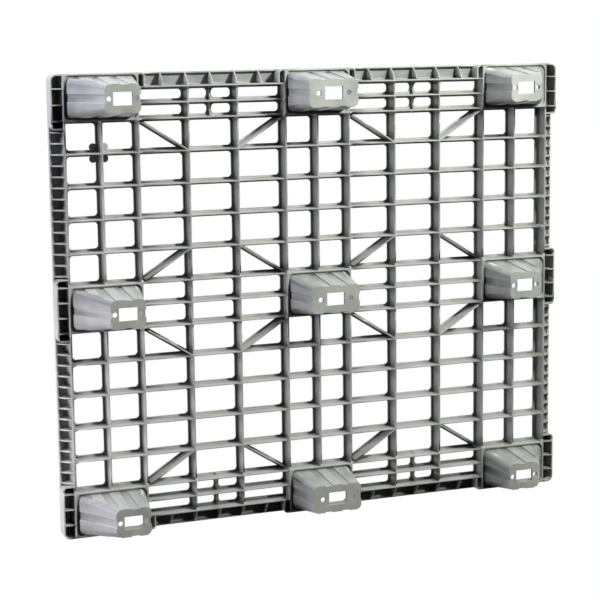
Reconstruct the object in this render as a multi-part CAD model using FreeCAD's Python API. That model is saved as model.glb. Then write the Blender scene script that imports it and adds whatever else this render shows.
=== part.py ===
import FreeCAD, Part

import os

# Light one-piece moulded pallet with an open deck and nine hollow feet that nest.
# Millimetres. X runs along the long side, Y along the short side and Z up.
# The origin is on the floor under the middle of the deck. Front is -Y and left is -X.

# Overall size
LENGTH = 1200.0  # along X
WIDTH = 1000.0  # along Y
FOOT_DROP = 95.0  # from the floor to the lower edge of the ribs
DECK_DEPTH = 35.0  # from the lower edge of the ribs to the top of the deck

# Plan of the deck, to the middle of each rib
SIDE_RIM = 27.5  # outer face to inner rim wall, short sides
END_RIM = 30.5  # outer face to inner rim wall, long sides
SIDE_BLOCK = 162.0  # room for a corner or side foot along X
CENTRE_BLOCK = 151.0  # room for a middle foot along X
OUTER_BLOCK = 98.5  # room for a front or back foot along Y, from the outer face
MID_BLOCK = 98.0  # room for a foot of the middle row along Y
BAY_STEPS_X = 3  # rib spacings between two foot columns
BAY_STEPS_Y = 5  # rib spacings between two foot rows

# Skin, ribs and walls
SKIN = 3.5  # top skin
RIB_TIP = 3.0  # rib thickness at its lower edge
RIB_ROOT = 4.4  # rib thickness under the skin
FLANGE = 7.0  # skin on each side of a rib's middle
RIM_FLANGE = 10.5  # skin on the inner side of a short side's rim wall
SHORT_RIB_DEPTH = 12.0  # low rib midway between two bay ribs, along the long sides
SHORT_FLANGE = 5.5  # skin on each side of its middle
CELL_RADIUS = 8.0  # corners of the openings in the deck
WALL = 3.4  # rim walls and the walls round a foot
BLOCK_RADIUS = 12.0  # inside corners round a foot
BRACE_TIP = 3.0  # diagonal brace, lower edge
BRACE_FLANGE = 5.0  # skin on each side of a brace's middle

# Rim
LIP_DEPTH = 11.5  # depth of the outer wall between the bumpers
BUMPER_RUN_X = 16.5  # bumper past a foot block's wall, long sides
BUMPER_RUN_Y = 18.5  # bumper past a foot block's wall, short sides
BUMPER_RADIUS = 9.0  # plan radius where a bumper turns inwards
CORNER_RADIUS = 14.0  # plan radius of the pallet's four corners
DIVIDER = 2.6  # thickness of the cross walls in the rim
DIVIDER_BULGE = 4.5  # a cross wall's lower edge below the straight line from wall to lip
DIVIDERS_PER_STEP = 3  # cross walls to each rib spacing, short sides
FIN = 1.8  # thickness of the two slanting fins where a rib meets a short side's rim wall
FIN_SPREAD = 7.0  # from the rib to a fin's foot on that wall

# Feet
COLLAR = 3.0  # flat plate round the top of a foot
COLLAR_RECESS = 5.0  # from the lower edge of the walls up to the collar
LEDGE = 3.0  # collar from the block's wall to the foot
FOOT_WALL = 3.0
FOOT_FLOOR = 5.0
SIDE_FOOT_LENGTH = 77.5  # corner and side feet, at the floor, along X
SIDE_FOOT_INSET = 21.0  # from the block's inner rib to that foot, at the floor
CENTRE_FOOT_LENGTH = 114.5  # middle feet, at the floor, along X
FOOT_WIDTH = 62.5  # all feet, at the floor, along Y
FOOT_TOP_RADIUS = 13.0
FOOT_FLOOR_RADIUS = 13.0
FLUTE_WIDTH = 18.0  # flat, square-edged flutes down the long faces
FLUTE_DEPTH = 2.0
FLUTE_PITCH = 41.0
SIDE_FLUTE_INSET = 55.5  # from the block's inner rib to the first flute of a side foot
END_FLUTE_WIDTH = 14.0  # one wide groove down each end face
END_FLUTE_DEPTH = 2.0
WINDOW_LENGTH = 41.0  # drain window in a foot's floor
WINDOW_WIDTH = 28.0
HOLE_RADIUS = 5.5  # round hole on each side of the window
SIDE_HOLE_OFFSET = 29.0
CENTRE_HOLE_OFFSET = 35.0

# Small round boss on each bay rib, by the front rim
BOSS_RADIUS = 3.0

# Lobed pad under one crossing
PAD_RADIUS = 13.0
LOBE_RADIUS = 8.5
LOBE_OFFSET = 12.5

# Levels
RIB_Z = FOOT_DROP
TOP_Z = FOOT_DROP + DECK_DEPTH
SKIN_Z = TOP_Z - SKIN
LIP_Z = TOP_Z - LIP_DEPTH
COLLAR_LOW = RIB_Z + COLLAR_RECESS
COLLAR_Z = COLLAR_LOW + COLLAR

# Rib lines along X, from the middle outwards
X_FACE = LENGTH / 2
X_RIM = X_FACE - SIDE_RIM
X_BLOCK = X_RIM - SIDE_BLOCK
X_SPLIT = (X_RIM + X_BLOCK) / 2
X_CENTRE = CENTRE_BLOCK / 2
X_STEP = (X_BLOCK - X_CENTRE) / BAY_STEPS_X
BAY_X = [X_CENTRE + X_STEP * i for i in range(1, BAY_STEPS_X)]

# Rib lines along Y, from the middle outwards
Y_FACE = WIDTH / 2
Y_RIM = Y_FACE - END_RIM
Y_BLOCK = Y_FACE - OUTER_BLOCK
Y_SPLIT = (Y_RIM + Y_BLOCK) / 2
Y_MID = MID_BLOCK / 2
Y_STEP = (Y_BLOCK - Y_MID) / BAY_STEPS_Y
BAY_Y = [Y_MID + Y_STEP * i for i in range(1, BAY_STEPS_Y)]

# Limits of the pieces, at the edges of the ribs' flanges
X_IN = X_CENTRE + FLANGE
X_OUT = X_BLOCK - FLANGE
X_RAIL = X_RIM - RIM_FLANGE
Y_IN = Y_MID + FLANGE
Y_OUT = Y_BLOCK - FLANGE
Y_RAIL = Y_RIM - FLANGE
X_SIDE = X_RIM + WALL / 2

SIDES = {"left": -1, "right": 1}
ENDS = {"front": -1, "back": 1}


def span(sign, near, far):
    """Low and high limits of a stretch that lies on one side of the middle."""
    return tuple(sorted((sign * near, sign * far)))


def box(xs, ys, zs):
    corner = FreeCAD.Vector(xs[0], ys[0], zs[0])
    return Part.makeBox(xs[1] - xs[0], ys[1] - ys[0], zs[1] - zs[0], corner)


def prism(points, direction):
    """Straight solid on a flat outline of corners."""
    corners = [FreeCAD.Vector(*point) for point in points]
    face = Part.Face(Part.makePolygon(corners + corners[:1]))
    return face.extrude(FreeCAD.Vector(*direction))


def upright_edges(solid):
    return [edge for edge in solid.Edges if abs(edge.tangentAt(0).z) > 0.99]


def rounded_box(xs, ys, zs, radius):
    """Upright box with its four upright edges rounded."""
    solid = box(xs, ys, zs)
    return solid.makeFillet(radius, upright_edges(solid))


def round_corner(solid, x, y, radius):
    """Round the one upright edge that stands at x, y."""
    middles = [(edge, edge.CenterOfMass) for edge in upright_edges(solid)]
    chosen = [edge for edge, at in middles if abs(at.x - x) < 1e-3 and abs(at.y - y) < 1e-3]
    return solid.makeFillet(radius, chosen)


def rib_outline(depth):
    """Half widths and heights of a tapered rib, a little into the skin."""
    high = SKIN_Z + SKIN / 2
    low = TOP_Z - depth
    return [(-RIB_TIP / 2, low), (RIB_TIP / 2, low), (RIB_ROOT / 2, high), (-RIB_ROOT / 2, high)]


def rib_along_x(y, xs):
    outline = rib_outline(DECK_DEPTH)
    return prism([(xs[0], y + across, z) for across, z in outline], (xs[1] - xs[0], 0, 0))


def rib_along_y(x, ys, depth=DECK_DEPTH):
    outline = rib_outline(depth)
    return prism([(x + across, ys[0], z) for across, z in outline], (0, ys[1] - ys[0], 0))


def gaps(limits, flanges):
    """Stretches between the limits that the flanges on the rib lines leave open."""
    edges = [limits[0]]
    for line, half in sorted(flanges):
        edges += [line - half, line + half]
    edges.append(limits[1])
    pairs = zip(edges[0::2], edges[1::2])
    return [(low, high) for low, high in pairs if high - low > 2 * CELL_RADIUS]


def lattice(xs, ys, lines_x, lines_y, short_lines=()):
    """Piece of deck: skin with rounded openings, on crossing ribs.

    A corner of the piece that no rib reaches would keep a loose crumb of skin from the
    rounding of its opening, so only the piece itself is kept.
    """
    solid = box(xs, ys, (SKIN_Z, TOP_Z))
    flanges_x = [(x, FLANGE) for x in lines_x] + [(x, SHORT_FLANGE) for x in short_lines]
    openings = []
    for cell_x in gaps(xs, flanges_x):
        for cell_y in gaps(ys, [(y, FLANGE) for y in lines_y]):
            openings.append(rounded_box(cell_x, cell_y, (SKIN_Z - 1, TOP_Z + 1), CELL_RADIUS))
    ribs = [rib_along_y(x, ys) for x in lines_x]
    ribs += [rib_along_y(x, ys, SHORT_RIB_DEPTH) for x in short_lines]
    ribs += [rib_along_x(y, xs) for y in lines_y]
    whole = solid.cut(openings).fuse(ribs)
    return max(whole.Solids, key=lambda piece: piece.Volume)


def brace(start, end, xs, ys):
    """Diagonal rib with its own strip of skin, cut off at the limits of its cell."""
    run = FreeCAD.Vector(end[0] - start[0], end[1] - start[1], 0)
    side = FreeCAD.Vector(-run.y, run.x, 0).normalize()
    pieces = []
    for half, low, high in ((BRACE_TIP / 2, RIB_Z, TOP_Z), (BRACE_FLANGE, SKIN_Z, TOP_Z)):
        base = FreeCAD.Vector(start[0], start[1], low)
        corners = [base + side * half, base - side * half]
        corners += [corner + run for corner in reversed(corners)]
        pieces.append(prism([tuple(corner) for corner in corners], (0, 0, high - low)))
    return pieces[0].fuse(pieces[1]).common(box(xs, ys, (RIB_Z, TOP_Z)))


def bay(side, end):
    """Large open stretch between four feet, with a brace at each foot's corner."""
    xs = span(side, X_IN, X_OUT)
    ys = span(end, Y_IN, Y_OUT)
    solid = lattice(xs, ys, [side * x for x in BAY_X], [end * y for y in BAY_Y])
    braces = []
    for foot_x, rib_x in ((X_CENTRE, BAY_X[0]), (X_BLOCK, BAY_X[-1])):
        for foot_y, rib_y in ((Y_MID, BAY_Y[0]), (Y_BLOCK, BAY_Y[-1])):
            start = (side * foot_x, end * foot_y)
            stop = (side * rib_x, end * rib_y)
            braces.append(brace(start, stop, xs, ys))
    return solid.fuse(braces)


def lobed_pad(x, y):
    """Flat pad of four lobes on the underside of the skin."""
    low = FreeCAD.Vector(x, y, SKIN_Z)
    lobes = [Part.makeCylinder(PAD_RADIUS, SKIN, low)]
    for along, across in ((-1, -1), (-1, 1), (1, -1), (1, 1)):
        middle = low + FreeCAD.Vector(along * LOBE_OFFSET, across * LOBE_OFFSET, 0)
        lobes.append(Part.makeCylinder(LOBE_RADIUS, SKIN, middle))
    return lobes[0].fuse(lobes[1:])


def rib_boss(x, y):
    """Small upright cylinder in a rib, flush with the rib's lower edge."""
    return Part.makeCylinder(BOSS_RADIUS, SKIN_Z - RIB_Z, FreeCAD.Vector(x, y, RIB_Z))


def deck_pieces():
    """All open pieces of the deck between the feet and the rim."""
    pieces = {}
    for end_name, end in ENDS.items():
        ys = span(end, Y_IN, Y_OUT)
        lines_y = [end * y for y in BAY_Y]
        for side_name, side in SIDES.items():
            pieces[f"deck_bay_{end_name}_{side_name}"] = bay(side, end)
            strip = lattice(span(side, X_OUT, X_RAIL), ys, [side * X_SPLIT, side * X_BLOCK], lines_y)
            if (side, end) == (-1, -1):
                strip = strip.fuse(lobed_pad(side * X_SPLIT, end * BAY_Y[-1]))
            pieces[f"deck_strip_{end_name}_{side_name}"] = strip
            edge_xs = span(side, X_IN, X_OUT)
            edge_ys = span(end, Y_OUT, Y_RAIL)
            edge_lines = [end * Y_SPLIT, end * Y_BLOCK]
            middle = [side * sum(BAY_X) / len(BAY_X)]
            edge = lattice(edge_xs, edge_ys, [side * x for x in BAY_X], edge_lines, middle)
            if end < 0:
                edge = edge.fuse([rib_boss(side * x, BOSS_RADIUS - Y_RAIL) for x in BAY_X])
            pieces[f"deck_edge_{end_name}_{side_name}"] = edge
        strip = lattice((-X_IN, X_IN), ys, [-X_CENTRE, 0, X_CENTRE], lines_y)
        pieces[f"deck_strip_{end_name}_centre"] = strip
    for side_name, side in SIDES.items():
        xs = span(side, X_IN, X_OUT)
        middle = lattice(xs, (-Y_IN, Y_IN), [side * x for x in BAY_X], [-Y_MID, 0, Y_MID])
        pieces[f"deck_middle_{side_name}"] = middle
    return pieces


def divider(x, inner, face):
    """Cross wall in a rim channel, deep at the inner wall and curving up to the outer lip."""
    top = SKIN_Z + SKIN / 2
    lip = face - WALL / 2
    left = x - DIVIDER / 2
    corners = [(inner, RIB_Z), (inner, top), (lip, top), (lip, LIP_Z)]
    points = [FreeCAD.Vector(left, y, z) for y, z in corners]
    edges = [Part.makeLine(a, b) for a, b in zip(points, points[1:])]
    middle = FreeCAD.Vector(left, (inner + lip) / 2, (RIB_Z + LIP_Z) / 2 - DIVIDER_BULGE)
    edges.append(Part.Arc(points[-1], middle, points[0]).toShape())
    return Part.Face(Part.Wire(edges)).extrude(FreeCAD.Vector(DIVIDER, 0, 0))


def finned_rib_end(x, limit, inner):
    """End of a rib on a short side's rim wall, with a slanting fin on each side of it."""
    deep = SKIN_Z + SKIN / 2 - RIB_Z
    parts = [rib_along_y(x, (limit, inner))]
    for side in SIDES.values():
        outline = [(x, limit), (x + side * FIN_SPREAD, inner)]
        outline += [(x + side * (FIN_SPREAD - FIN), inner), (x, limit + FIN)]
        parts.append(prism([(*point, RIB_Z) for point in outline], (0, 0, deep)))
    return parts[0].fuse(parts[1:])


def rail(run, face, inner, limit, bumper_run, dividers, rib_ends):
    """Channel of the rim between two foot blocks, as a long side's back rail.

    run is its stretch along X, face and inner are the outer face and the middle of the
    inner wall along Y, limit is the edge of its skin, dividers are places along X, and
    rib_ends are the ends of the deck's ribs that reach the inner wall.
    """
    low, high = run
    deep = (RIB_Z, SKIN_Z + SKIN / 2)
    parts = [rib_along_x(inner, run)]
    parts.append(box(run, (face - WALL, face), (LIP_Z, deep[1])))
    for open_end, turned, into in ((low, low + bumper_run, 1), (high, high - bumper_run, -1)):
        outer = box(sorted((open_end, turned)), (inner, face), deep)
        hollow = sorted((open_end - into, turned - into * WALL))
        pocket = box(hollow, (inner, face - WALL), (RIB_Z - 1, SKIN_Z))
        pocket = round_corner(pocket, turned - into * WALL, face - WALL, BUMPER_RADIUS - WALL)
        parts.append(round_corner(outer, turned, face, BUMPER_RADIUS).cut(pocket))
    parts += [divider(x, inner, face) for x in dividers]
    parts += rib_ends
    skin = box(run, (limit, face), (SKIN_Z, TOP_Z))
    return skin.fuse(parts)


def mirrored(solid, side, end):
    """Copy of a piece from the right or the back, on the side and end asked for."""
    origin = FreeCAD.Vector(0, 0, 0)
    if side < 0:
        solid = solid.mirror(origin, FreeCAD.Vector(1, 0, 0))
    if end < 0:
        solid = solid.mirror(origin, FreeCAD.Vector(0, 1, 0))
    return solid


def turned_to_side(solid):
    """Piece built along X, swapped so that it runs along Y on the right."""
    across = FreeCAD.Matrix(0, 1, 0, 0, 1, 0, 0, 0, 0, 0, 1, 0, 0, 0, 0, 1)
    return solid.transformGeometry(across)


def rail_pieces():
    """Rim channels between the bumpers."""
    half_steps = [X_CENTRE + X_STEP * (i + 1) / 2 for i in range(2 * BAY_STEPS_X - 1)]
    rib_ends = [rib_along_y(x, (Y_RAIL, Y_RIM)) for x in BAY_X]
    rib_ends.append(rib_along_y(sum(BAY_X) / len(BAY_X), (Y_RAIL, Y_RIM), SHORT_RIB_DEPTH))
    run_x = BUMPER_RUN_X - FLANGE
    end_rail = rail((X_IN, X_OUT), Y_FACE, Y_RIM, Y_RAIL, run_x, half_steps, rib_ends)
    pitch = Y_STEP / DIVIDERS_PER_STEP
    places = [Y_MID + pitch * i for i in range(1, BAY_STEPS_Y * DIVIDERS_PER_STEP)]
    run_y = BUMPER_RUN_Y - FLANGE
    rib_ends = [finned_rib_end(y, X_RAIL, X_RIM) for y in BAY_Y]
    side_rail = rail((Y_IN, Y_OUT), X_FACE, X_RIM, X_RAIL, run_y, places, rib_ends)
    side_rail = turned_to_side(side_rail)
    pieces = {}
    for end_name, end in ENDS.items():
        for side_name, side in SIDES.items():
            pieces[f"rim_{end_name}_rail_{side_name}"] = mirrored(end_rail, side, end)
            pieces[f"rim_{side_name}_rail_{end_name}"] = mirrored(side_rail, side, end)
    return pieces


def bumper(ys, places, corner):
    """Deep stretch of the right rim beside a foot, closed by cross walls."""
    xs = (X_SIDE, X_FACE)
    outer = box(xs, ys, (RIB_Z, TOP_Z))
    pocket_ys = (ys[0] - 1, ys[1] - WALL if corner else ys[1] + 1)
    pocket = box((X_SIDE - 1, X_FACE - WALL), pocket_ys, (RIB_Z - 1, SKIN_Z))
    if corner:
        outer = round_corner(outer, X_FACE, ys[1], CORNER_RADIUS)
        pocket = round_corner(pocket, X_FACE - WALL, pocket_ys[1], CORNER_RADIUS - WALL)
    cross_walls = []
    for y in places:
        wall_ys = (y - DIVIDER / 2, y + DIVIDER / 2)
        cross_walls.append(box((X_SIDE, X_FACE - WALL / 2), wall_ys, (RIB_Z, SKIN_Z + SKIN / 2)))
    return outer.cut(pocket).fuse(cross_walls)


def bumper_pieces():
    corner = bumper((Y_OUT, Y_FACE), [Y_BLOCK, Y_SPLIT, Y_RIM], True)
    pitch = MID_BLOCK / DIVIDERS_PER_STEP
    places = [pitch * i - Y_MID for i in range(DIVIDERS_PER_STEP + 1)]
    middle = bumper((-Y_IN, Y_IN), places, False)
    pieces = {}
    for side_name, side in SIDES.items():
        pieces[f"rim_bumper_{side_name}"] = mirrored(middle, side, 1)
        for end_name, end in ENDS.items():
            pieces[f"rim_corner_{end_name}_{side_name}"] = mirrored(corner, side, end)
    return pieces


def wall_ends(walls, limits, lines, along_x):
    """Ends of the deck's ribs on the skin outside two opposite walls of a foot's frame."""
    deep = (RIB_Z, SKIN_Z + SKIN / 2)
    ends = []
    for wall, limit in zip(walls, limits):
        if abs(limit - wall) > WALL:
            run = sorted((wall, limit))
            for line in lines:
                across = (line - WALL / 2, line + WALL / 2)
                ends.append(box(run, across, deep) if along_x else box(across, run, deep))
    return ends


def foot_frame(walls_x, walls_y, limits_x, limits_y, lines_x, lines_y):
    """Four walls round a foot and the ring of skin on them, open for nesting.

    lines_x and lines_y are the ribs of the deck that run up to the walls.
    """
    inside_x = (walls_x[0] + WALL / 2, walls_x[1] - WALL / 2)
    inside_y = (walls_y[0] + WALL / 2, walls_y[1] - WALL / 2)
    outside_x = (walls_x[0] - WALL / 2, walls_x[1] + WALL / 2)
    outside_y = (walls_y[0] - WALL / 2, walls_y[1] + WALL / 2)
    walls = box(outside_x, outside_y, (RIB_Z, SKIN_Z + SKIN / 2))
    skin = box(limits_x, limits_y, (SKIN_Z, TOP_Z))
    room = rounded_box(inside_x, inside_y, (RIB_Z - 1, TOP_Z + 1), BLOCK_RADIUS)
    ends = wall_ends(walls_x, limits_x, lines_y, True) + wall_ends(walls_y, limits_y, lines_x, False)
    return walls.fuse([skin] + ends).cut(room)


def foot_section(xs, ys, radius, z):
    """Closed outline of a foot at one level, with the grooves of its end faces."""
    (x0, x1), (y0, y1) = xs, ys
    end_half = END_FLUTE_WIDTH / 2
    slope = END_FLUTE_DEPTH
    y_mid = (y0 + y1) / 2
    front = [(x0 + radius, y0), (x1 - radius, y0)]
    right = [(x1, y0 + radius), (x1, y_mid - end_half - slope), (x1 - slope, y_mid - end_half)]
    right += [(x1 - slope, y_mid + end_half), (x1, y_mid + end_half + slope), (x1, y1 - radius)]
    back = [(x, y0 + y1 - y) for x, y in reversed(front)]
    left = [(x0 + x1 - x, y) for x, y in reversed(right)]
    bend = radius * (1 - 0.5**0.5)
    mids = [(x1 - bend, y0 + bend), (x1 - bend, y1 - bend)]
    mids += [(x0 + bend, y1 - bend), (x0 + bend, y0 + bend)]
    sides = [front, right, back, left]
    edges = []
    for i, side in enumerate(sides):
        corners = [FreeCAD.Vector(x, y, z) for x, y in side]
        edges += [Part.makeLine(a, b) for a, b in zip(corners, corners[1:])]
        following = sides[(i + 1) % len(sides)][0]
        mid = FreeCAD.Vector(*mids[i], z)
        arc = Part.Arc(corners[-1], mid, FreeCAD.Vector(*following, z))
        edges.append(arc.toShape())
    return Part.Wire(edges)


def between(low, high, share):
    return tuple(a + (b - a) * share for a, b in zip(low, high))


def shrunk(limits, by):
    return (limits[0] + by, limits[1] - by)


def flute_cuts(places, floor_y, top_y, width, depth):
    """Slabs outside both long faces, reaching depth into them over the flutes' width."""
    cuts = []
    for floor_edge, top_edge, inwards in ((floor_y[0], top_y[0], 1), (floor_y[1], top_y[1], -1)):
        low = floor_edge + inwards * depth
        high = top_edge + inwards * depth
        far = top_edge - inwards * 20
        for x in places:
            start = x - width / 2
            corners = [(low, 0), (high, COLLAR_Z), (far, COLLAR_Z), (far, 0)]
            cuts.append(prism([(start, y, z) for y, z in corners], (width, 0, 0)))
    return cuts


def foot(walls_x, walls_y, floor_x, hole_offset, flutes):
    """Hollow tapered foot on its flat collar, open at the top."""
    inside_x = shrunk(walls_x, WALL / 2)
    inside_y = shrunk(walls_y, WALL / 2)
    top_x = shrunk(inside_x, LEDGE)
    top_y = shrunk(inside_y, LEDGE)
    middle_y = sum(walls_y) / 2
    floor_y = (middle_y - FOOT_WIDTH / 2, middle_y + FOOT_WIDTH / 2)

    def section(z, inset):
        share = z / COLLAR_Z
        xs = shrunk(between(floor_x, top_x, share), inset)
        ys = shrunk(between(floor_y, top_y, share), inset)
        radius = FOOT_FLOOR_RADIUS + (FOOT_TOP_RADIUS - FOOT_FLOOR_RADIUS) * share - inset
        return foot_section(xs, ys, radius, z)

    outer = Part.makeLoft([section(0, 0), section(COLLAR_Z, 0)], True, True)
    inner = Part.makeLoft([section(FOOT_FLOOR, FOOT_WALL), section(COLLAR_Z, FOOT_WALL)], True, True)
    outer = outer.cut(flute_cuts(flutes, floor_y, top_y, FLUTE_WIDTH, FLUTE_DEPTH))
    wide = FLUTE_WIDTH + 2 * FLUTE_DEPTH
    inner = inner.cut(flute_cuts(flutes, floor_y, top_y, wide, FLUTE_DEPTH + FOOT_WALL))
    collar = rounded_box(inside_x, inside_y, (COLLAR_LOW, COLLAR_Z), BLOCK_RADIUS)
    shell = collar.fuse(outer).cut(inner)
    middle_x = sum(floor_x) / 2
    window_x = (middle_x - WINDOW_LENGTH / 2, middle_x + WINDOW_LENGTH / 2)
    window_y = (middle_y - WINDOW_WIDTH / 2, middle_y + WINDOW_WIDTH / 2)
    cuts = [box(window_x, window_y, (-1, FOOT_FLOOR + 1))]
    for offset in (-hole_offset, hole_offset):
        low = FreeCAD.Vector(middle_x + offset, middle_y, -1)
        cuts.append(Part.makeCylinder(HOLE_RADIUS, FOOT_FLOOR + 2, low))
    return shell.cut(cuts)


def foot_pieces():
    """Nine feet in three rows and three columns, each in its frame of walls."""
    columns = {}
    for name, side in SIDES.items():
        walls = span(side, X_BLOCK, X_RIM)
        limits = span(side, X_OUT, X_SIDE)
        near = X_BLOCK + SIDE_FOOT_INSET
        floor_x = span(side, near, near + SIDE_FOOT_LENGTH)
        lines = [side * x for x in (X_BLOCK, X_SPLIT, X_RIM)]
        first = X_BLOCK + SIDE_FLUTE_INSET
        flutes = [side * (first + FLUTE_PITCH * i) for i in range(3)]
        columns[name] = (walls, limits, lines, floor_x, SIDE_HOLE_OFFSET, flutes)
    walls = (-X_CENTRE, X_CENTRE)
    floor_x = (-CENTRE_FOOT_LENGTH / 2, CENTRE_FOOT_LENGTH / 2)
    lines = [-X_CENTRE, 0, X_CENTRE]
    flutes = [-FLUTE_PITCH / 2, FLUTE_PITCH / 2]
    columns["centre"] = (walls, (-X_IN, X_IN), lines, floor_x, CENTRE_HOLE_OFFSET, flutes)
    rows = {"middle": ((-Y_MID, Y_MID), (-Y_IN, Y_IN), [-Y_MID, 0, Y_MID])}
    y_wall = Y_FACE - WALL / 2
    for name, end in ENDS.items():
        lines = [end * y for y in (Y_BLOCK, Y_SPLIT, Y_RIM, y_wall)]
        rows[name] = (span(end, Y_BLOCK, y_wall), span(end, Y_OUT, Y_FACE), lines)
    pieces = {}
    for row, (walls_y, limits_y, lines_y) in rows.items():
        for column, (walls_x, limits_x, lines_x, floor_x, hole_offset, flutes) in columns.items():
            frame = foot_frame(walls_x, walls_y, limits_x, limits_y, lines_x, lines_y)
            pieces[f"foot_frame_{row}_{column}"] = frame
            solid = foot(walls_x, walls_y, floor_x, hole_offset, flutes)
            pieces[f"foot_{row}_{column}"] = solid
    return pieces


def main():
    os.makedirs("parts", exist_ok=True)
    pieces = {**deck_pieces(), **rail_pieces(), **bumper_pieces(), **foot_pieces()}
    for name, shape in pieces.items():
        solids = shape.removeSplitter().Solids
        whole = solids[0] if len(solids) == 1 else Part.makeCompound(solids)
        whole.exportStep(f"parts/{name}.step")


main()
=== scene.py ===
import math

import bmesh
import bpy
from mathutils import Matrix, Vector


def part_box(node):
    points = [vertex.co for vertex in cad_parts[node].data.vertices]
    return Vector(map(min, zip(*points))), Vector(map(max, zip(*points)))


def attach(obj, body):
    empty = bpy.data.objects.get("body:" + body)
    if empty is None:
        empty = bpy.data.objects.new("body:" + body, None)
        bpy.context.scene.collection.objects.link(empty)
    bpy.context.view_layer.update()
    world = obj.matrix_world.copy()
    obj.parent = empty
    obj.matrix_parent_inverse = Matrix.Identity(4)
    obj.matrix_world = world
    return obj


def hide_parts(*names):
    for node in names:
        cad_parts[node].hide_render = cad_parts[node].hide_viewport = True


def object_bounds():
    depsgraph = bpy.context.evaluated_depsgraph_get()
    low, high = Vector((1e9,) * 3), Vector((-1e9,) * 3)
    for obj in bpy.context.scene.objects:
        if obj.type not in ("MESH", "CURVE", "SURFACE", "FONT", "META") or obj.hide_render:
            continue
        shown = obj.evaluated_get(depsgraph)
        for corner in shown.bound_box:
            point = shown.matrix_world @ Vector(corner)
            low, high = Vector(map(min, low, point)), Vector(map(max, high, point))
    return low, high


# A one-piece moulded polyethylene pallet, shown from its underside.
# Metres. X runs along the long side, Y along the short side, Z up, the floor is at Z 0.

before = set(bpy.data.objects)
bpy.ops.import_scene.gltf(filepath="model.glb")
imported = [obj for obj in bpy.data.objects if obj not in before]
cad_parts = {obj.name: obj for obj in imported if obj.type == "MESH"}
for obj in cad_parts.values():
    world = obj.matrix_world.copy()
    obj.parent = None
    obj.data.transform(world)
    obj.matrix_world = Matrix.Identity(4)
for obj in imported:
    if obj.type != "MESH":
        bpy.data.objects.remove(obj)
cad_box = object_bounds()

MM = 0.001

# Edge rounding that the mould gives
ROOT_FILLET = 2.2 * MM  # where a rib, wall or foot grows out of the skin
EDGE_ROUND = 0.8 * MM  # free edges of ribs, walls and openings
FOOT_ROUND = 0.5 * MM  # the same on the feet, whose flutes have crisp edges
FIN_ROUND = 0.45 * MM  # the same on the thin fins of the short sides' rims
LEAST_ROOT = 12 * MM  # shorter roots, as in the pockets between fins, stay sharp
ROUND_SEGMENTS = 3
SHARP = math.radians(35)  # faces that meet at more than this have a real edge between them
FLAT = math.radians(0.5)  # faces that meet at less than this are one flat face
STEEP = 0.7  # least Z of an upright edge's direction, as on a foot's corner
WELD = 0.01 * MM  # points nearer than this are one point
RUBBED = "rubbed"  # attribute that is 1 on the free edges

# Rib lines of the deck, from the frame's pieces: each piece ends at the edge of a rib's flange
FLANGE = 7 * MM
RIM_FLANGE = 10.5 * MM
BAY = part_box("deck_bay_back_right")
EDGE_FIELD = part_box("deck_edge_back_right")
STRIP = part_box("deck_strip_back_right")
BAY_STEPS = (3, 5)  # openings of a large field along X and along Y


def rib_lines(axis):
    """Places of the ribs across one axis, from the middle outwards, on the right or back."""
    near = BAY[0][axis] - FLANGE
    far = BAY[1][axis] + FLANGE
    steps = BAY_STEPS[axis]
    rim = STRIP[1].x + RIM_FLANGE if axis == 0 else EDGE_FIELD[1].y + FLANGE
    lines = [0.0, near] + [near + (far - near) * i / steps for i in range(1, steps)]
    return lines + [far, (far + rim) / 2, rim]


def linear(hex_colour):
    """sRGB hex colour as linear red, green, blue and alpha."""
    values = []
    for at in (1, 3, 5):
        value = int(hex_colour[at:at + 2], 16) / 255
        values.append(value / 12.92 if value <= 0.04045 else ((value + 0.055) / 1.055) ** 2.4)
    return (*values, 1.0)


def add_node(tree, kind, settings=(), values=(), links=()):
    """Add one node, set its properties and sockets, and link other nodes' outputs into it."""
    node = tree.nodes.new(kind)
    for name, value in dict(settings).items():
        setattr(node, name, value)
    for name, value in dict(values).items():
        node.inputs[name].default_value = value
    for name, source in dict(links).items():
        tree.links.new(source, node.inputs[name])
    return node


# Material

POLYETHYLENE_IOR = 1.53
DARK_GREY = "#7F817E"
PALE_GREY = "#92948F"
SCUFF_GREY = "#ABACA6"
RUBBED_GREY = "#B4B5AF"
SATIN = (0.34, 0.48)  # least and greatest roughness
CLOUD = 70 * MM  # width of a cloud of regrind
FLOW_MARK = (200 * MM, 14 * MM, 60 * MM)  # length along X, width along Y, depth along Z
FLECK = 5 * MM  # coarser than the real ones so that they show
GRAIN = 1.5 * MM  # spark grain, coarser than the real one so that it shows
GRAIN_DEPTH = 0.15 * MM
RIPPLE_DEPTH = 1.2 * MM


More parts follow.
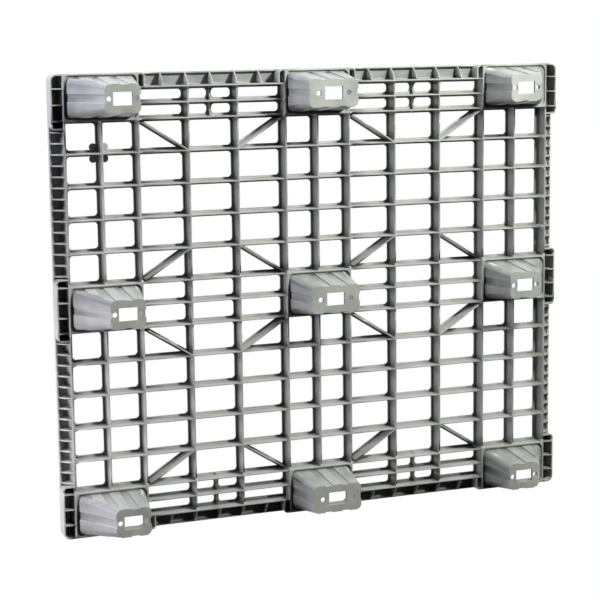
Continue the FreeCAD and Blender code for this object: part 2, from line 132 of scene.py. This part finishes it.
def moulded_polyethylene():
    """High density polyethylene with regrind in it, injection moulded in a fine-eroded tool.

    The eye gets a satin mid grey, faintly cloudy where the melt mixed, with drawn-out flow
    marks, small paler scuffs and a slightly paler, rubbed line along every free edge.
    """
    material = bpy.data.materials.new("satin_grey_polyethylene")
    material.use_nodes = True
    tree = material.node_tree
    shader = tree.nodes["Principled BSDF"]
    shader.inputs["IOR"].default_value = POLYETHYLENE_IOR
    shader.inputs["Specular IOR Level"].default_value = 0.5
    place = add_node(tree, "ShaderNodeTexCoord").outputs["Object"]

    # Clouds of regrind
    clouds = add_node(tree, "ShaderNodeTexNoise",
                      values={"Scale": 1 / CLOUD, "Detail": 4, "Roughness": 0.6},
                      links={"Vector": place})
    base = add_node(tree, "ShaderNodeValToRGB", links={"Fac": clouds.outputs["Fac"]})
    base.color_ramp.elements[0].position = 0.32
    base.color_ramp.elements[0].color = linear(DARK_GREY)
    base.color_ramp.elements[1].position = 0.68
    base.color_ramp.elements[1].color = linear(PALE_GREY)

    # Flow marks, drawn out along the long side
    drawn = add_node(tree, "ShaderNodeMapping",
                     values={"Scale": [1 / size for size in FLOW_MARK]},
                     links={"Vector": place})
    flow = add_node(tree, "ShaderNodeTexNoise",
                    values={"Scale": 1.0, "Detail": 3, "Distortion": 0.6},
                    links={"Vector": drawn.outputs["Vector"]})
    streaks = add_node(tree, "ShaderNodeMapRange",
                       values={"From Min": 0.35, "From Max": 0.7, "To Min": 0.93, "To Max": 1.06},
                       links={"Value": flow.outputs["Fac"]})
    streaked = add_node(tree, "ShaderNodeVectorMath", settings={"operation": "SCALE"},
                        links={0: base.outputs["Color"], "Scale": streaks.outputs["Result"]})

    # Flecks and scuffs
    flecks = add_node(tree, "ShaderNodeTexNoise",
                      values={"Scale": 1 / FLECK, "Detail": 2, "Roughness": 0.7},
                      links={"Vector": place})
    scuffed = add_node(tree, "ShaderNodeMapRange",
                       values={"From Min": 0.6, "From Max": 0.78, "To Min": 0.0, "To Max": 0.3},
                       links={"Value": flecks.outputs["Fac"]})
    with_scuffs = add_node(tree, "ShaderNodeMix", settings={"data_type": "RGBA"},
                           links={"Factor": scuffed.outputs["Result"],
                                  "A": streaked.outputs["Vector"]})
    with_scuffs.inputs["B"].default_value = linear(SCUFF_GREY)

    # Rubbed edges
    rubbed = add_node(tree, "ShaderNodeAttribute", settings={"attribute_name": RUBBED})
    patches = add_node(tree, "ShaderNodeMath", settings={"operation": "MULTIPLY"},
                       links={0: rubbed.outputs["Fac"], 1: clouds.outputs["Fac"]})
    coloured = add_node(tree, "ShaderNodeMix", settings={"data_type": "RGBA"},
                        links={"Factor": patches.outputs["Value"],
                               "A": with_scuffs.outputs[2]})
    coloured.inputs["B"].default_value = linear(RUBBED_GREY)
    tree.links.new(coloured.outputs[2], shader.inputs["Base Color"])

    # Satin from the eroded tool, glossier where the melt lay longest on it
    gloss = add_node(tree, "ShaderNodeMapRange",
                     values={"From Min": 0.3, "From Max": 0.7,
                             "To Min": SATIN[0], "To Max": SATIN[1]},
                     links={"Value": clouds.outputs["Fac"]})
    tree.links.new(gloss.outputs["Result"], shader.inputs["Roughness"])

    # Spark grain on a slight ripple
    grain = add_node(tree, "ShaderNodeTexNoise",
                     values={"Scale": 1 / GRAIN, "Detail": 2}, links={"Vector": place})
    ripple = add_node(tree, "ShaderNodeBump", values={"Strength": 0.25, "Distance": RIPPLE_DEPTH},
                      links={"Height": flow.outputs["Fac"]})
    bump = add_node(tree, "ShaderNodeBump", values={"Strength": 0.12, "Distance": GRAIN_DEPTH},
                    links={"Height": grain.outputs["Fac"], "Normal": ripple.outputs["Normal"]})
    tree.links.new(bump.outputs["Normal"], shader.inputs["Normal"])
    return material


# Pieces


def cut_planes(node):
    """Planes where the piece was cut from its neighbours, as (axis, place)."""
    planes = []
    for axis in (0, 1):
        for mine, whole in zip(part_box(node), cad_box):
            if abs(mine[axis] - whole[axis]) > WELD:
                planes.append((axis, mine[axis]))
    return planes


def on_a_cut(edge, planes):
    """Whether an edge lies where the moulding was divided, and so isn't an edge of the pallet."""
    return any(all(abs(v.co[axis] - at) < WELD for v in edge.verts) for axis, at in planes)


def upright(edge):
    return abs((edge.verts[0].co - edge.verts[1].co).normalized().z) > STEEP


def real_edges(mesh, planes, root):
    """Edges with a real corner: the roots of ribs and walls on the skin, or the free edges."""
    found = []
    for edge in mesh.edges:
        if len(edge.link_faces) == 2 and edge.calc_face_angle(0) > SHARP:
            wanted = edge.is_convex != root
            if root and (upright(edge) or edge.calc_length() < LEAST_ROOT):
                wanted = False
            if wanted and not on_a_cut(edge, planes):
                found.append(edge)
    return found


def is_foot(node):
    return node.startswith("foot_") and not node.startswith("foot_frame")


def split_cells(mesh, node):
    """Cut the faces through the middle of each opening, so that no face has a hole in it.

    A foot has one row of openings in its floor, so it is cut once, along that row.
    """
    low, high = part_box(node)
    for axis in (0, 1):
        lines = rib_lines(axis)
        middles = [(a + b) / 2 for a, b in zip(lines, lines[1:])]
        places = sorted(middles + [-middle for middle in middles])
        if is_foot(node):
            places = [(low[axis] + high[axis]) / 2] if axis == 1 else []
        for at in places:
            if low[axis] < at < high[axis]:
                normal = Vector((1 - axis, axis, 0))
                parts = mesh.verts[:] + mesh.edges[:] + mesh.faces[:]
                bmesh.ops.bisect_plane(mesh, geom=parts, dist=WELD / 10,
                                       plane_co=normal * at, plane_no=normal)


def round_edges(mesh, edges, width):
    """Round edges, free or inner ones, and return the new faces."""
    made = bmesh.ops.bevel(mesh, geom=edges, offset=width, offset_type="OFFSET",
                           segments=ROUND_SEGMENTS, profile=0.5, affect="EDGES", material=-1,
                           clamp_overlap=False)
    return made["faces"]


def free_edge_round(node):
    if node.startswith(("rim_left_rail", "rim_right_rail")):
        return FIN_ROUND
    return FOOT_ROUND if is_foot(node) else EDGE_ROUND


def moulded(node, material):
    """Show a piece of the moulding with filleted roots and rounded, rubbed free edges."""
    mesh = bmesh.new()
    mesh.from_mesh(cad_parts[node].data)
    bmesh.ops.remove_doubles(mesh, verts=mesh.verts, dist=WELD)
    bmesh.ops.dissolve_limit(mesh, angle_limit=FLAT, verts=mesh.verts, edges=mesh.edges)
    split_cells(mesh, node)
    planes = cut_planes(node)
    round_edges(mesh, real_edges(mesh, planes, True), ROOT_FILLET)
    rounded = round_edges(mesh, real_edges(mesh, planes, False), free_edge_round(node))
    low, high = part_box(node)
    for corner in mesh.verts:
        corner.co = [min(max(c, a), b) for c, a, b in zip(corner.co, low, high)]
    rubbed = mesh.verts.layers.float.new(RUBBED)
    for face in rounded:
        for corner in face.verts:
            corner[rubbed] = 1.0
    for face in mesh.faces:
        face.smooth = True
    data = bpy.data.meshes.new(f"{node}_moulded")
    mesh.to_mesh(data)
    mesh.free()
    piece = bpy.data.objects.new(f"{node}_moulded", data)
    bpy.context.scene.collection.objects.link(piece)
    data.materials.append(material)
    normals = piece.modifiers.new("flat_faces_stay_flat", "WEIGHTED_NORMAL")
    normals.keep_sharp = True
    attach(piece, "root")
    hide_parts(node)


# Studio

WORLD_WHITE = "#F1F1F8"
WORLD_FROM_BELOW = 0.015  # strength of the light that the world gives
WORLD_FROM_ABOVE = 1.2
WORLD_FULL_AT = 0.3  # Z of the direction from which the light comes at its full strength
FLOOR_RADIUS = 6.0
FLOOR_PAINT = "#F1F1EF"
LENS = 102.25
LENS_SHIFT = -0.05
CAMERA_PLACE = (-1.41227, -0.59504, -3.41014)
CAMERA_TURN = (172.095, 21.379, 0.739)  # degrees


def white_world():
    """Seen as white all round, it gives white light from above and very little from below."""
    world = bpy.data.worlds.new("white_studio")
    bpy.context.scene.world = world
    world.use_nodes = True
    tree = world.node_tree
    seen = add_node(tree, "ShaderNodeBackground", values={"Color": (1, 1, 1, 1), "Strength": 1.0})
    direction = add_node(tree, "ShaderNodeTexCoord").outputs["Generated"]
    height = add_node(tree, "ShaderNodeSeparateXYZ", links={"Vector": direction})
    strength = add_node(tree, "ShaderNodeMapRange",
                        values={"From Min": 0.0, "From Max": WORLD_FULL_AT,
                                "To Min": WORLD_FROM_BELOW, "To Max": WORLD_FROM_ABOVE},
                        links={"Value": height.outputs["Z"]})
    given = add_node(tree, "ShaderNodeBackground", values={"Color": linear(WORLD_WHITE)},
                     links={"Strength": strength.outputs["Result"]})
    camera_ray = add_node(tree, "ShaderNodeLightPath").outputs["Is Camera Ray"]
    mix = add_node(tree, "ShaderNodeMixShader",
                   links={"Fac": camera_ray, 1: given.outputs[0], 2: seen.outputs[0]})
    tree.links.new(mix.outputs[0], tree.nodes["World Output"].inputs["Surface"])


def sun(name, towards, strength, colour, softness):
    """Far lamp that stands in the direction towards, seen from the pallet; softness in degrees."""
    lamp = bpy.data.lights.new(name, "SUN")
    lamp.energy = strength
    lamp.color = linear(colour)[:3]
    lamp.angle = math.radians(softness)
    holder = bpy.data.objects.new(name, lamp)
    holder.rotation_euler = Vector(towards).to_track_quat("Z", "Y").to_euler()
    bpy.context.scene.collection.objects.link(holder)


def softbox(name, place, target, size, power, colour):
    """Rectangular lamp near the pallet, with its power in watts, that isn't itself seen."""
    lamp = bpy.data.lights.new(name, "AREA")
    lamp.shape = "RECTANGLE"
    lamp.size, lamp.size_y = size
    lamp.energy = power
    lamp.color = linear(colour)[:3]
    holder = bpy.data.objects.new(name, lamp)
    holder.location = place
    holder.rotation_euler = (Vector(place) - Vector(target)).to_track_quat("Z", "Y").to_euler()
    holder.visible_camera = False
    bpy.context.scene.collection.objects.link(holder)


def floor():
    """Pale floor that is seen from above only, so that the underside can be looked at."""
    mesh = bmesh.new()
    bmesh.ops.create_circle(mesh, cap_ends=True, segments=96, radius=FLOOR_RADIUS)
    data = bpy.data.meshes.new("pale_floor")
    mesh.to_mesh(data)
    mesh.free()
    piece = bpy.data.objects.new("pale_floor", data)
    bpy.context.scene.collection.objects.link(piece)
    material = bpy.data.materials.new("pale_painted_floor")
    material.use_nodes = True
    tree = material.node_tree
    paint = tree.nodes["Principled BSDF"]
    paint.inputs["Base Color"].default_value = linear(FLOOR_PAINT)
    paint.inputs["Roughness"].default_value = 0.8
    clear = add_node(tree, "ShaderNodeBsdfTransparent")
    under = add_node(tree, "ShaderNodeNewGeometry").outputs["Backfacing"]
    mix = add_node(tree, "ShaderNodeMixShader",
                   links={"Fac": under, 1: paint.outputs[0], 2: clear.outputs[0]})
    tree.links.new(mix.outputs[0], tree.nodes["Material Output"].inputs["Surface"])
    data.materials.append(material)
    piece.visible_shadow = False
    piece.visible_diffuse = False
    piece.visible_glossy = False


def camera():
    """Camera below the pallet's feet, looking up at its underside from the front left."""
    lens = bpy.data.cameras.new("camera")
    lens.lens = LENS
    lens.shift_y = LENS_SHIFT
    lens.clip_end = 50
    holder = bpy.data.objects.new("camera", lens)
    holder.location = CAMERA_PLACE
    holder.rotation_euler = [math.radians(angle) for angle in CAMERA_TURN]
    bpy.context.scene.collection.objects.link(holder)
    bpy.context.scene.camera = holder


def lamps():
    """A near key light below the floor, weak strips level with it and a faint front light."""
    sun("key_light", towards=(0.85, -0.7, -1.0), strength=1.2, colour="#FAFFF8", softness=2.0)
    softbox("key_softbox", place=(0.8, -1.4, -1.2), target=(0, 0, 0.1), size=(0.2, 0.2),
            power=50, colour="#FAFFF9")
    softbox("left_softbox", place=(-1.1, -0.95, -0.02), target=(0, 0, -0.02), size=(0.7, 0.1),
            power=11, colour="#EEECFF")
    softbox("low_softbox", place=(-1.0, 0.3, -0.02), target=(0, 0.2, -0.02), size=(0.3, 0.08),
            power=3.4, colour="#F6F2FF")
    sun("front_light", towards=(0.0, -1.0, 0.1), strength=0.2, colour="#E6ECFF", softness=12)


def main():
    material = moulded_polyethylene()
    for node in sorted(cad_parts):
        moulded(node, material)
    white_world()
    lamps()
    floor()
    camera()
    bpy.context.scene.view_settings.view_transform = "Standard"


main()
